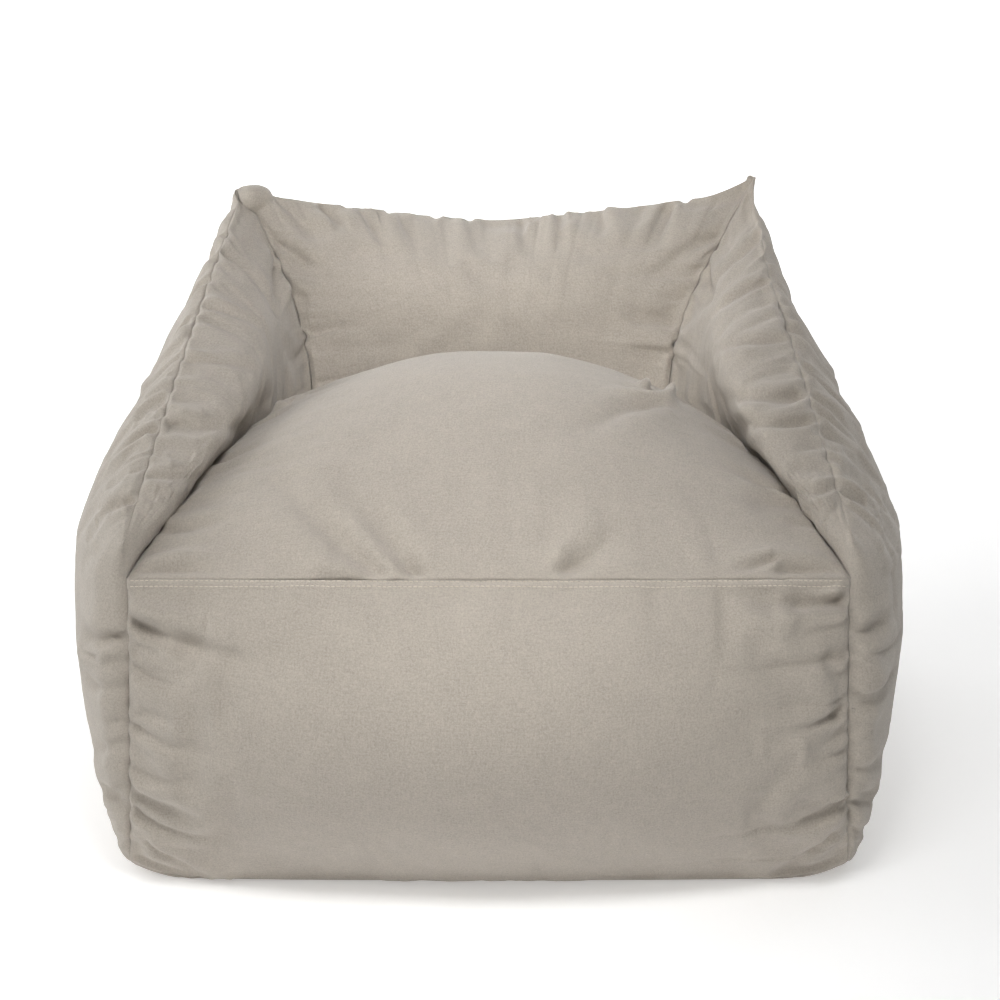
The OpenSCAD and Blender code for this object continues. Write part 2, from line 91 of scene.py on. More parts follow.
def make_camera():
    height = CAD_BOX[1].z - CAD_BOX[0].z
    aim = Vector((AIM_ASIDE, AIM_BACK, CAD_BOX[0].z + height * AIM_HEIGHT_SHARE))
    back = Vector((0, -math.cos(CAMERA_HEIGHT_ANGLE), math.sin(CAMERA_HEIGHT_ANGLE)))
    data = bpy.data.cameras.new("camera")
    data.lens = CAMERA_LENS
    data.clip_end = 60
    camera = placed("camera", data)
    camera.location = aim + back * CAMERA_DISTANCE
    camera.rotation_euler = (-back).to_track_quat("-Z", "Y").to_euler()
    bpy.context.scene.camera = camera


# Each light: its place, the point that it faces, its size, its power in watts and its spread
LIGHTS = {
    "key": ((-0.05, -3, 3.4), (0, 0, 0.3), (1.3, 1.1), 20, 180),
    "front": ((0, -0.92, 1.15), (0, -0.46, 0.33), (0.5, 0.25), 1.35, 70),
    "backrest": ((0, -1.05, 1.35), (0, 0.36, 0.60), (0.5, 0.3), 1.2, 44),
    "side": ((-2.6, -0.3, 1.3), (-0.2, 0, 0.3), (1.4, 1.2), 21, 180),
    "top": ((-0.2, 0.2, 2.5), (0, 0, 0.3), (1.8, 1.6), 2, 180),
    "rim_left": ((-1.9, 1.3, 1.3), (-0.3, 0, 0.35), (1.0, 1.2), 9, 180),
    "rim_right": ((1.9, 1.2, 1.4), (0.3, 0, 0.4), (1.0, 1.2), 4, 180),
}
SKY_LEFT, SKY_RIGHT = 0.34, 0.02
FLOOR_HALF_WIDTH, FLOOR_FRONT, FLOOR_BACK = 9.0, -9.0, 3.5
BACKDROP_BEND, BACKDROP_TOP = 1.2, 7.0
GLOW_FROM, GLOW_TO = 0.5, 4.5
GLOW_NEAR, GLOW_FAR = 0.30, 0.85


def make_light(name, place, aim, size, power, spread):
    data = bpy.data.lights.new(name, "AREA")
    data.shape = "RECTANGLE"
    data.size, data.size_y = size
    data.energy = power
    data.spread = math.radians(spread)
    light = placed(name, data)
    light.location = place
    light.rotation_euler = (Vector(aim) - Vector(place)).to_track_quat("-Z", "Y").to_euler()


def ramp(tree, output, axis, socket, *values):
    """Takes a socket from one value to another as a coordinate runs from a start to an end."""
    place = tree.nodes.new("ShaderNodeTexCoord")
    split = tree.nodes.new("ShaderNodeSeparateXYZ")
    share = tree.nodes.new("ShaderNodeMapRange")
    tree.links.new(place.outputs[output], split.inputs[0])
    tree.links.new(split.outputs[axis], share.inputs["Value"])
    for name, value in zip(("From Min", "From Max", "To Min", "To Max"), values):
        share.inputs[name].default_value = value
    tree.links.new(share.outputs[0], socket)


def make_studio():
    scene = bpy.context.scene
    scene.view_settings.view_transform = "Standard"
    scene.view_settings.look = "None"
    world = bpy.data.worlds.new("studio")
    world.use_nodes = True
    sky = world.node_tree.nodes["Background"]
    sky.inputs["Color"].default_value = (1, 1, 1, 1)
    ramp(world.node_tree, "Generated", "X", sky.inputs["Strength"], -1, 1, SKY_LEFT, SKY_RIGHT)
    scene.world = world
    for name, light in LIGHTS.items():
        make_light(name, *light)

    floor = bpy.data.meshes.new("floor")
    outline = [(FLOOR_FRONT, 0.0), (FLOOR_BACK, 0.0)]
    outline += [(FLOOR_BACK + BACKDROP_BEND * math.sin(a), BACKDROP_BEND * (1 - math.cos(a)))
                for a in np.linspace(0.15, math.pi / 2, 12)]
    outline.append((FLOOR_BACK + BACKDROP_BEND, BACKDROP_TOP))
    points = [(x, y, z) for y, z in outline for x in (-FLOOR_HALF_WIDTH, FLOOR_HALF_WIDTH)]
    faces = [(2 * k, 2 * k + 1, 2 * k + 3, 2 * k + 2) for k in range(len(outline) - 1)]
    floor.from_pydata(points, [], faces)
    for face in floor.polygons:
        face.use_smooth = True
    material = bpy.data.materials.new("studio_floor")
    material.use_nodes = True
    shader = material.node_tree.nodes["Principled BSDF"]
    shader.inputs["Base Color"].default_value = (0.93, 0.93, 0.93, 1)
    shader.inputs["Roughness"].default_value = 0.9
    shader.inputs["Emission Color"].default_value = (1, 1, 1, 1)
    ramp(material.node_tree, "Object", "Y", shader.inputs["Emission Strength"],
         GLOW_FROM, GLOW_TO, GLOW_NEAR, GLOW_FAR)
    floor.materials.append(material)
    placed("floor", floor)


# ---- seams and panels
def corner(node, towards):
    """The vertex of a CAD node that lies furthest along a direction."""
    points = np.array([v.co for v in frame["nodes"][node].data.vertices], float)
    return points[np.argmax(points @ np.array(towards, float))]


MIRROR = np.array([-1.0, 1.0, 1.0])
SEAT_FRONT = corner("seat_panel", (1, -0.1, 0))
ARM_FRONT = corner("right_arm_panel", (1, 0, 0))
SEAT_REAR = corner("right_arm_panel", (-1, 0, 0))
BACK_TOP = corner("backrest_panel", (0.01, 0, 1))
BASE_FRONT = corner("front_panel", (0.01, 0, -1))
BASE_REAR = corner("rear_zip_band", (0.01, 0, -1))
ZIP_END = corner("rear_panel", (0.01, 0, -1))
ZIP_SLOT = 0.007
ZIP_DENT, ZIP_DENT_REACH = 0.006, 0.026
ZIP_OPEN_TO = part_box("cover_zip_upper_tape")[1].x + 0.001
TOP_SAG = 0.036
# The right corner's tab, the fuller cloth below it, and the left corner's knob
TAB_PULL, TAB_REACH, TAB_POINT = (0.016, 0.004, 0.017), 0.05, 1.6
FULL_PLACE, FULL_PUSH, FULL_REACH = (0.010, -0.035, -0.070), (0.015, 0, 0), 0.075
KNOB_PLACE, KNOB_SIZE, KNOB_SOFT = (0.015, -0.002, -0.011), 0.0245, 0.004
# The filled cover's base corners curl up off the floor and spread past the CAD's
CORNER_CURL = 0.021
BASE_FRONT = BASE_FRONT * (1, 1, 0) + (0.013, 0.004, 0)
BASE_REAR = BASE_REAR * (1, 1, 0) + (0.016, -0.004, 0)


def curled(line):
    """A floor seam whose ends curl up."""
    t = np.linspace(-1, 1, len(line))
    line[:, 2] = CORNER_CURL * np.abs(t) ** 12
    return line


def seam(p, q, push, cells):
    """A curve from p to q whose middle is pushed out of the straight line."""
    t = np.linspace(0, 1, cells + 1)[:, None]
    line = (1 - t) ** 2 * p + t * (1 - t) * (p + q + 4 * np.array(push)) + t ** 2 * q
    line[0], line[-1] = p, q
    return line


def swell(t, steepness, peak):
    """How far the cloth has swollen at t across a panel: nothing at the seams, 1 at the peak."""
    return np.sin(np.pi * t ** (math.log(0.5) / math.log(peak))) ** steepness


def cloth(bottom, top, start, end, height, blow):
    """Rows of points over a panel between its four seams, blown out along a direction."""
    n, m = len(bottom) - 1, len(start) - 1
    u = np.linspace(0, 1, n + 1)[None, :, None]
    v = np.linspace(0, 1, m + 1)[:, None, None]
    rows = (1 - v) * bottom[None] + v * top[None] + (1 - u) * start[:, None] + u * end[:, None]
    rows -= (1 - u) * (1 - v) * bottom[0] + u * (1 - v) * bottom[-1]
    rows -= (1 - u) * v * top[0] + u * v * top[-1]
    direction, along, up, along_peak, up_peak = blow
    rows += (height * swell(u, along, along_peak) * swell(v, up, up_peak)
             * np.array(direction))
    rows[0], rows[-1], rows[:, 0], rows[:, -1] = bottom, top, start, end
    return rows


# Cells of the simulated cloth along each kind of seam
ACROSS, ARM_RUN, CORNER_ROWS, ARM_ROWS, BAND_ROWS, REAR_ROWS = 72, 60, 34, 26, 9, 51


def bag_panels(fine=1):
    """Every panel of the filled cover in its even shape, each as rows of points."""
    a, r = ACROSS * fine, ARM_RUN * fine
    left = lambda line: line * MIRROR
    back = lambda line: line[::-1]
    base_front = curled(seam(BASE_FRONT * MIRROR, BASE_FRONT, (0, -0.006, 0), a))
    base_rear = curled(seam(BASE_REAR * MIRROR, BASE_REAR, (0, 0.014, 0), a))
    front = seam(SEAT_FRONT * MIRROR, SEAT_FRONT, (0, -0.022, 0.006), a)
    seat_back = seam(SEAT_REAR * MIRROR, SEAT_REAR, (0, 0.015, 0.020), a)
    back_top = seam(BACK_TOP * MIRROR, BACK_TOP, (0, 0.016, 0), a)
    k = np.linspace(-1, 1, a + 1)[:, None]
    back_top[:, 2] -= TOP_SAG * (1 - np.abs(k[:, 0]) ** 1.4)
    zip_middle = ZIP_END * np.concatenate([k, np.ones_like(k), np.ones_like(k)], 1)
    zip_open = np.clip((ZIP_OPEN_TO - np.abs(zip_middle[:, :1])) / 0.010, 0, 1)
    zip_rise = ZIP_SLOT * zip_open * np.array([0, 0, 1])
    zip_upper, zip_lower = zip_middle + zip_rise, zip_middle - zip_rise
    base_side = curled(seam(BASE_FRONT, BASE_REAR, (0.022, 0, 0), r))
    side_front = seam(base_front[-1], SEAT_FRONT, (-0.007, -0.038, 0), CORNER_ROWS * fine)
    nose = seam(SEAT_FRONT, ARM_FRONT, (0, 0, 0), ARM_ROWS * fine)
    seat_side = seam(SEAT_FRONT, SEAT_REAR, (0.006, 0, 0.024), r)
    arm_top = seam(ARM_FRONT, BACK_TOP, (0.004, 0, 0.002), r)
    arm_back = seam(SEAT_REAR, BACK_TOP, (-0.020, -0.015, 0), ARM_ROWS * fine)
    rear_low = seam(base_rear[-1], ZIP_END, (0.002, 0.004, 0), BAND_ROWS * fine)
    rear_high = seam(ZIP_END, BACK_TOP, (0.014, 0.030, 0), REAR_ROWS * fine)
    side_start = np.concatenate([side_front, nose[1:]])
    side_end = np.concatenate([rear_low, rear_high[1:]])
    made = {
        "front_panel": cloth(base_front, front, left(side_front), side_front,
                             0.066, ((0, -1, -0.06), 0.75, 0.85, 0.5, 0.56)),
        "seat_panel": cloth(front, seat_back, left(seat_side), seat_side,
                            0.078, ((0, -0.05, 1), 0.7, 0.72, 0.5, 0.55)),
        "backrest_panel": cloth(seat_back, back_top, left(arm_back), arm_back,
                                0.040, ((0, -1, 0.3), 0.9, 0.9, 0.5, 0.6)),
        "right_arm_panel": cloth(back(seat_side), back(arm_top), arm_back, nose,
                                 0.046, ((-1, -0.1, 0.35), 1.2, 0.8, 0.56, 0.6)),
        "right_side_panel": cloth(base_side, arm_top, side_start, side_end,
                                  0.088, ((1, 0, 0.04), 0.6, 0.72, 0.42, 0.46)),
        "rear_panel": cloth(back(zip_upper), back(back_top), rear_high, left(rear_high),
                            0.055, ((0, 1, 0.1), 0.8, 0.8, 0.5, 0.4)),
        "rear_zip_band": cloth(back(base_rear), back(zip_lower), rear_low, left(rear_low),
                               0.016, ((0, 1, 0), 0.6, 0.8, 0.5, 0.5)),
        "base_panel": cloth(base_rear, base_front, left(back(base_side)), back(base_side),
                            0.0, ((0, 0, -1), 1, 1, 0.5, 0.5)),
    }
    for part in ("arm", "side"):
        made[f"left_{part}_panel"] = (made[f"right_{part}_panel"] * MIRROR)[:, ::-1]
    return made


def surface_normals(rows):
    """Outward normal at each point of a panel."""
    along = np.gradient(rows, axis=1)
    up = np.gradient(rows, axis=0)
    normal = np.cross(along, up)
    size = norm(normal, axis=-1, keepdims=True)
    return normal / np.maximum(size, 1e-12)


def edge_distances(rows):
    """Distance of each point from the panel's bottom, top, start and end seam, along the cloth."""
    across = norm(np.diff(rows, axis=1), axis=-1)
    up = norm(np.diff(rows, axis=0), axis=-1)
    pad_u = np.concatenate([np.zeros((rows.shape[0], 1)), np.cumsum(across, 1)], 1)
    pad_v = np.concatenate([np.zeros((1, rows.shape[1])), np.cumsum(up, 0)], 0)
    return pad_v, pad_v[-1:] - pad_v, pad_u, pad_u[:, -1:] - pad_u


# ---- noise
NOISE_TABLE = np.random.default_rng(11).uniform(-1, 1, 4096)


def noise(points, seed=0):
    """Smooth random values from -1 to 1 at points whose cells are 1 apart."""
    points = np.asarray(points, float)
    cell = np.floor(points).astype(np.int64)
    part = points - cell
    part = part * part * (3 - 2 * part)
    total = 0
    for step in np.ndindex(2, 2, 2):
        x, y, z = np.moveaxis(cell + step, -1, 0)
        key = (x * 73856093) ^ (y * 19349663) ^ (z * 83492791) ^ (seed * 2654435)
        weight = np.abs(1 - np.array(step) - part).prod(-1)
        total = total + weight * NOISE_TABLE[key & 4095]
    return total


def puckers(rows, wave, reach, amounts, seed, sharp=0.25):
    """Creases that start at the seams and run away from them, fading as they go.

    amounts holds the strength at the bottom, top, start and end seam. A crease is the same on
    both panels of a seam.
    """
    total = np.zeros(rows.shape[:2])
    distances = edge_distances(rows)
    feet = (rows[:1], rows[-1:], rows[:, :1], rows[:, -1:])
    for distance, foot, amount in zip(distances, feet, amounts):
        if not amount:
            continue
        slant = 0.30 * noise(foot / 0.11, seed + 5)[..., None] * (distance / wave)[..., None]
        bend = noise(foot / wave + slant * np.array([0.4, 0.6, 0.6]), seed)
        crease = 0.55 * bend - bell(bend / sharp) + 0.25
        length = reach * (1 + 0.8 * noise(foot / (wave * 1.7), seed + 9))
        total += amount * crease * np.exp(-(distance / np.maximum(length, 0.004)))
    return total


# ---- creases of each panel
# Strength of the puckers at the bottom, top, start and end seam of each panel
GATHERS = {
    "front_panel": (0.3, 0.25, 1.2, 1.2),
    "seat_panel": (0.15, 0.4, 0.8, 0.8),
    "backrest_panel": (0.3, 1.1, 0.8, 0.8),
    "right_arm_panel": (0.6, 0.8, 0.8, 0.3),
    "left_arm_panel": (0.6, 0.8, 0.3, 0.8),
    "right_side_panel": (0.3, 1.3, 1.1, 0.9),
    "left_side_panel": (0.3, 1.3, 0.9, 1.1),
    "rear_panel": (0.4, 0.9, 0.9, 0.9),
    "rear_zip_band": (0.4, 0.3, 0.6, 0.6),
    "base_panel": (0, 0, 0, 0),
}

# ---- cloth simulation
WELD = 0.0045
SIM_FRAMES = 24
# How much longer than the even shape the cloth is at the gathered seams and in the open
SEAM_GROWTH, OPEN_GROWTH, GATHER_REACH = 0.05, 0.002, 0.05
# How strongly the seams and the open cloth are held to their even shape
SEAM_HOLD, OPEN_HOLD = 0.80, 0.25
BEND, STRETCH, PRESSURE, VERTEX_MASS = 6, 15, 1.0, 0.05
# The share of the simulated movement that the finished cover takes
PUFF_SHARE = 0.85
START_WAVE, START_LIFT = 0.040, 0.003


def evaluated(piece):
    """A piece's mesh with its modifiers applied, and the places of its vertices."""
    mesh = piece.evaluated_get(bpy.context.evaluated_depsgraph_get()).to_mesh()
    points = np.zeros(len(mesh.vertices) * 3)
    mesh.vertices.foreach_get("co", points)
    return mesh, points.reshape(-1, 3)


def sewn_mesh(panels):
    """One closed mesh of all the panels, and the vertex in it of each panel's points."""
    points = np.concatenate([rows.reshape(-1, 3) for rows in panels.values()])
    net = bmesh.new()
    for p in points:
        net.verts.new(p)
    net.verts.ensure_lookup_table()
    at = 0
    for rows in panels.values():
        m, n = rows.shape[:2]
        for j in range(m - 1):
            for i in range(n - 1):
                a = at + j * n + i
                net.faces.new([net.verts[k] for k in (a, a + 1, a + n + 1, a + n)])
        at += m * n
    bmesh.ops.remove_doubles(net, verts=net.verts, dist=WELD)
    mesh = bpy.data.meshes.new("sewn")
    net.to_mesh(mesh)
    net.free()
    tree = point_tree([v.co for v in mesh.vertices])
    return mesh, {name: np.array([tree.find(p)[1] for p in rows.reshape(-1, 3)])
                  for name, rows in panels.items()}


def puffed(panels):
    """How far the sewn cover moves when Blender's Cloth blows it up, with its seams gathered."""
    mesh, found = sewn_mesh(panels)
    count = len(mesh.vertices)
    start = np.array([v.co for v in mesh.vertices], float)
    seam_gap = np.full(count, 1.0)
    gather_gap = np.full(count, 1.0)
    lift = np.zeros((count, 3))
    for name, rows in panels.items():
        ids = found[name]
        gaps = edge_distances(rows)
        near = np.minimum.reduce(gaps)
        np.minimum.at(seam_gap, ids, near.ravel())
        gathered = [gap + 0.10 * (1 - GATHERS[name][side]) for side, gap in enumerate(gaps)]
        np.minimum.at(gather_gap, ids, np.maximum(np.minimum.reduce(gathered), 0).ravel())
        if name != "base_panel":
            push = puckers(rows, START_WAVE, GATHER_REACH, GATHERS[name], 5) * START_LIFT
            push *= 1 - np.exp(-near / 0.01)
            lift[ids] = (surface_normals(rows) * push[..., None]).reshape(-1, 3)
    lift[seam_gap < 0.002] = 0
    body = placed("sewn", mesh)

    hold = body.vertex_groups.new(name="hold")
    even = body.vertex_groups.new(name="even")
    inner_floor = (start[:, 2] < 0.004) & (seam_gap > 0.05)
    at_zip = (start[:, 1] > ZIP_END[1] - 0.002) & (np.abs(start[:, 2] - ZIP_END[2]) < 0.012)
    inner_floor |= at_zip
    for k in range(count):
        weight = 1.0 if inner_floor[k] else SEAM_HOLD if seam_gap[k] < 0.003 else OPEN_HOLD
        hold.add([k], weight, "REPLACE")
        even.add([k], 1 - float(bell(gather_gap[k] / GATHER_REACH)), "REPLACE")
    body.shape_key_add(name="Basis")
    bumpy = body.shape_key_add(name="bumpy")
    bumpy.data.foreach_set("co", (start + lift).ravel())
    bumpy.value = 1

    modifier = body.modifiers.new("cloth", "CLOTH")
    settings = modifier.settings
    for key, value in dict(
            quality=5, mass=VERTEX_MASS, air_damping=1.5, tension_stiffness=STRETCH,
            compression_stiffness=STRETCH, shear_stiffness=STRETCH / 3, bending_stiffness=BEND,
            tension_damping=6, compression_damping=6, shear_damping=6, bending_damping=0.5,
            use_pressure=True, uniform_pressure_force=PRESSURE, vertex_group_mass="hold",
            pin_stiffness=1, shrink_min=-SEAM_GROWTH, shrink_max=-OPEN_GROWTH,
            vertex_group_shrink="even",
            rest_shape_key=body.data.shape_keys.key_blocks["Basis"]).items():
        setattr(settings, key, value)
    settings.effector_weights.gravity = 0
    modifier.collision_settings.use_collision = False
    modifier.point_cache.frame_end = SIM_FRAMES
    scene = bpy.context.scene
    for number in range(1, SIM_FRAMES + 1):
        scene.frame_set(number)
    moved = evaluated(body)[1] - start
    scene.frame_set(1)
    bpy.data.objects.remove(body)
    far = norm(moved, axis=1)
    print("cloth moved mean %.4f p90 %.4f max %.4f of %d" % (
        far.mean(), np.percentile(far, 90), far.max(), count), flush=True)

    return {name: moved[found[name]].reshape(rows.shape) for name, rows in panels.items()}


def smooth_matrix(cells, fine):
    """Weights that take cells + 1 values to fine times as many cells along a smooth curve."""
    weights = np.zeros((cells * fine + 1, cells + 1))
    for k in range(cells * fine + 1):
        base, part = divmod(k, fine)
        t = part / fine
        if base == cells:
            base, t = cells - 1, 1.0
        four = (-t + 2 * t * t - t ** 3, 2 - 5 * t * t + 3 * t ** 3,
                t + 4 * t * t - 3 * t ** 3, -t * t + t ** 3)
        for step, w in zip((-1, 0, 1, 2), four):
            weights[k, min(max(base + step, 0), cells)] += w / 2
    return weights


def refined(values, fine):
    """A panel's coarse values on its fine grid."""
    up = smooth_matrix(values.shape[0] - 1, fine)
    along = smooth_matrix(values.shape[1] - 1, fine)
    return np.einsum("aj,jic,bi->abc", up, values, along)


# ---- large creases
# Large creases of each panel. A row holds three points, in percent along and up the panel from
# where the crease is deepest, its depth and its width in millimetres, and how far the cloth
# beside it stands up in tenths of the depth
FOLDS = {
    "front_panel": [
        (0,79, 10,75, 22,71, 11,14,8), (0,66, 6,65.5, 13,66, 5,10,6), (0,50, 7,48, 15,47, 5,11,6),
        (0,36, 5,37, 11,40, 4,9,6), (0,22, 7,20, 16,22, 5,11,6), (100,84.5, 92,85, 84,87, 11,13,8),
        (100,70, 94,70.5, 87,69, 5,10,6), (100,56, 93,53, 85,52, 6,12,6), (100,42, 95,43, 90,42, 4,9,6),
        (100,27, 94,24, 86,25, 6,11,6), (97,16, 93,7, 90,0, 6,12,5),
        (97.5,97.5, 95.5,94.5, 93,92, 8,10,8), (3,12, 9,5, 14,0, 5,12,5),
    ],
    "seat_panel": [
        (2,2, 7,2.2, 14,1, 10,11,11), (98,2, 93,2.6, 85,1.2, 10,11,11), (90,4.5, 87,3, 83,1.2, 5,7,9),
        (35,1, 24,14, 10,40, 10,22,7), (40,1, 33,11, 25,25, 8,20,7), (61,2, 65,5, 70,11, 7,16,6),
        (83,60, 80,55, 75,57, 14,12,10), (81,50, 71,40, 64,30, 6,18,6), (7,70, 11,73, 21,64, 8,13,7),
        (0,42, 6,40, 13,42, 6,12,6), (100,30, 94,29, 88,31, 6,12,6), (0,16, 6,14, 12,16, 5,11,6),
    ],
    "backrest_panel": [
        (0,78, 6,66, 10,50, 8,13,6), (5,100, 10,86, 13,70, 6,12,6), (15,100, 18,88, 20,78, 5,9,7),
        (23,100, 25,86, 27,70, 6,10,7), (31,100, 32,90, 33,80, 4,8,7), (45,100, 46,88, 46,74, 4,10,6),
        (56,100, 57,87, 59,72, 6,10,7), (64,100, 65,86, 66,70, 6,9,7), (72,100, 74,88, 75,76, 5,10,7),
        (85,100, 86,86, 84,68, 6,12,6), (100,80, 93,70, 89,52, 8,13,6), (0,30, 10,34, 22,30, 6,14,5),
        (100,36, 90,38, 80,32, 6,14,5),
    ],
    "left_arm_panel": [
        (30,100, 33,66, 62,5, 7,14,6), (16,100, 19,66, 33,10, 6,12,6), (46,100, 50,74, 60,45, 5,11,6),
        (62,100, 66,74, 74,50, 5,11,6), (80,100, 82,72, 86,45, 6,12,6), (100,70, 90,60, 80,58, 6,12,6),
    ],
    "right_arm_panel": [
        (63,100, 59,68, 36,22, 7,14,6), (70,100, 64,54, 40,5, 6,12,6), (87,100, 84,60, 68,5, 6,12,6),
        (48,100, 44,76, 34,52, 5,11,6), (30,100, 26,74, 20,50, 6,11,6), (14,100, 13,72, 10,45, 6,12,6),
        (0,66, 10,60, 22,60, 6,12,6),
    ],
    "left_side_panel": [
        (100,47, 95,46.2, 88,47, 8,12,7), (100,38, 95,37.8, 88,38.5, 7,12,7),
        (100,28, 95,26, 86,25, 5,11,6), (100,15, 95,16, 90,15, 5,10,6), (90,100, 88,90, 84,80, 6,11,6),
        (72,100, 71,90, 68,80, 6,12,6), (52,100, 53,88, 51,76, 6,12,6), (30,100, 32,88, 32,76, 6,12,6),
        (0,72, 10,68, 22,70, 8,14,6), (0,45, 9,46, 20,44, 7,14,6),
    ],
    "right_side_panel": [
        (0,47.5, 3,48.3, 10,50, 8,12,7), (0,35, 4,36.7, 12,39, 7,12,7), (0,22, 5,23, 13,22, 5,11,6),
        (0,10, 6,9, 12,12, 5,10,6), (12,100, 13,90, 17,80, 6,11,6), (33,100, 32,88, 34,78, 6,12,6),
        (55,100, 54,90, 55,78, 6,12,6), (78,100, 75,88, 72,76, 6,12,6), (100,66, 90,63, 80,65, 8,14,6),
        (100,38, 91,40, 80,37, 7,14,6),
    ],
    "rear_panel": [
        (0,78, 10,74, 22,75, 9,15,6), (0,52, 12,50, 24,53, 8,15,6), (0,30, 8,31, 18,28, 6,13,6),
        (100,82, 89,78, 78,79, 9,15,6), (100,60, 90,58, 76,60, 8,15,6), (100,36, 91,33, 80,34, 6,13,6),
        (20,100, 22,90, 21,80, 6,12,6), (42,100, 43,91, 45,82, 5,11,6), (70,100, 68,90, 69,78, 6,12,6),
    ],
}
# All the depths and widths above are multiplied by these
FOLD_DEPTH, FOLD_WIDTH = 1.30, 0.62
# How far the seams, and around the front corners the creases and the puffing, are calmed
SEAM_CALM, CREASE_CALM, PUFF_CALM = 0.006, 0.045, 0.09
# Each layer of puckers: its wave, its reach from the seams, its seed, sharpness and height
PUCKERS = ((0.040, 0.080, 21, 0.17, 0.0036), (0.020, 0.055, 47, 0.24, 0.0028),
           (0.012, 0.028, 53, 0.4, 0.0012))


def on_panel(rows, u, v):
    """The point at a share u along and v up a panel."""
    m, n = rows.shape[0] - 1, rows.shape[1] - 1
    x, y = min(u * n, n - 1e-6), min(v * m, m - 1e-6)
    i, j = int(x), int(y)
    a, b = x - i, y - j
    return ((1 - a) * (1 - b) * rows[j, i] + a * (1 - b) * rows[j, i + 1]
            + (1 - a) * b * rows[j + 1, i] + a * b * rows[j + 1, i + 1])


def fold_lift(rows, normal, points, depth, width, ridge):
    """Height of one large crease: a valley along a bent line, with a ridge on either side."""
    p, q, r = (on_panel(rows, u, v) for u, v in points)
    t = np.linspace(0, 1, 48)[:, None]
    middle = 2 * q - (p + r) / 2
    line = (1 - t) ** 2 * p + 2 * t * (1 - t) * middle + t ** 2 * r
    along = np.gradient(line, axis=0)
    along /= norm(along, axis=1, keepdims=True)
    lift = np.zeros(rows.shape[:2])
    room = 6 * width
    inside = ((rows > line.min(0) - room) & (rows < line.max(0) + room)).all(-1)
    here = rows[inside]
    offset = here[:, None] - line[None]
    gap = norm(offset, axis=-1)
    nearest = gap.argmin(1)
    own = np.arange(len(here))
    side = np.cross(normal[inside], along[nearest])
    aside = (offset[own, nearest] * side).sum(-1)
    beyond = np.sqrt(np.maximum(gap[own, nearest] ** 2 - aside ** 2, 0))
    share = t[nearest, 0]
    wide = width * (1 + 0.9 * share)
    s = aside / wide
    shape = -bell(s / 0.75) + ridge * bell((s - 1.7) / 1.1)
    shape += 0.6 * ridge * bell((s + 1.7) / 1.1)
    fade = (1 - share) ** 0.9 * bell(beyond / wide)
    lift[inside] = depth * shape * fade
    return lift


def panel_lift(name, rows):
    """Outward displacement of a panel's creases and puckers."""
    normal = surface_normals(rows)
    lift = sum(puckers(rows, wave, reach, GATHERS[name], seed, sharp) * height
               for wave, reach, seed, sharp, height in PUCKERS)
    near = np.minimum.reduce(edge_distances(rows))
    calm = 1 - bell(near / SEAM_CALM)
    if name != "base_panel":
        lift += noise(rows / 0.085, 71) * 0.0020 + noise(rows / 0.030, 72) * 0.0006
    for *line, depth, width, ridge in FOLDS.get(name, ()):
        points = np.array(line).reshape(3, 2) / 100
        lift += fold_lift(rows, normal, points, depth / 1000 * FOLD_DEPTH,
                          width / 1000 * FOLD_WIDTH, ridge / 10)
    return lift * calm * calm_nose(rows, CREASE_CALM)


def calm_nose(rows, reach):
    """0 at the front corners, where five panels' points crowd together, and 1 away from them."""
    share = 1
    for side in (1, -1):
        nose = (SEAT_FRONT + ARM_FRONT) / 2 * (side, 1, 1)
        share = share * np.clip(norm(rows - nose, axis=-1) / reach - 0.2, 0, 1)
    return share


# ---- seams
GROOVE, GROOVE_REACH = 0.0015, 0.0036
# The front seam is narrower, and its border is drawn in less than the others' borders
HEM_FOLD, HEM_PULL, BORDER_PULL = 0.0012, 0.4, 1.2
# The cloth's thickness, its gap above the floor, and how far from the seams the painted highlight,
# partly rubbed cloth, reaches
CLOTH_THICK, FLOOR_GAP, HIGHLIGHT_AND_WEAR_REACH = 0.0011, 0.0004, 0.006
HEM_RAISE, HEM_WIDTH = 0.0009, 0.0105
STITCH_EDGE, STITCH_ROWS = 0.0022, 0.0058
STITCH_DIP, STITCH_DIP_REACH = 0.0005, 0.0009


def border_keys(rows):
    """The panel's border points in order, and a name for each place."""
    m, n = rows.shape[:2]
    index = [(0, i) for i in range(n)] + [(m - 1, i) for i in range(n)]
    index += [(j, 0) for j in range(m)] + [(j, n - 1) for j in range(m)]
    return index, [tuple(np.round(rows[j, i] * 1e5).astype(int)) for j, i in index]


def sewn(panels):
    """The panels with every seam drawn in along the direction that its panels share.

    Also gives, at each border point, the way out of the bag.
    """
    shared = {}
    for rows in panels.values():
        normal = surface_normals(rows)
        for (j, i), key in zip(*border_keys(rows)):
            shared[key] = shared.get(key, 0) + normal[j, i]
    result, outwards = {}, {}
    for name, rows in panels.items():
        normal = surface_normals(rows)
        pull = np.zeros(rows.shape[:2])
        for side, distance in enumerate(edge_distances(rows)):
            front_seam = (name, side) in (("front_panel", 1), ("seat_panel", 0))
            reach = HEM_FOLD if front_seam else GROOVE_REACH
            pull = np.maximum(pull, bell(distance / reach))
        moved = rows - normal * pull[..., None] * GROOVE
        out = normal.copy()
        for (j, i), key in zip(*border_keys(rows)):
            way = shared[key] / max(norm(shared[key]), 1e-9)
            out[j, i] = way
            inner = 0 < i < rows.shape[1] - 1
            front_seam = inner and (name, j) in (("front_panel", rows.shape[0] - 1),
                                                 ("seat_panel", 0))
            moved[j, i] = rows[j, i] - way * GROOVE * (HEM_PULL if front_seam else BORDER_PULL)
        result[name], outwards[name] = moved, out
    return result, outwards


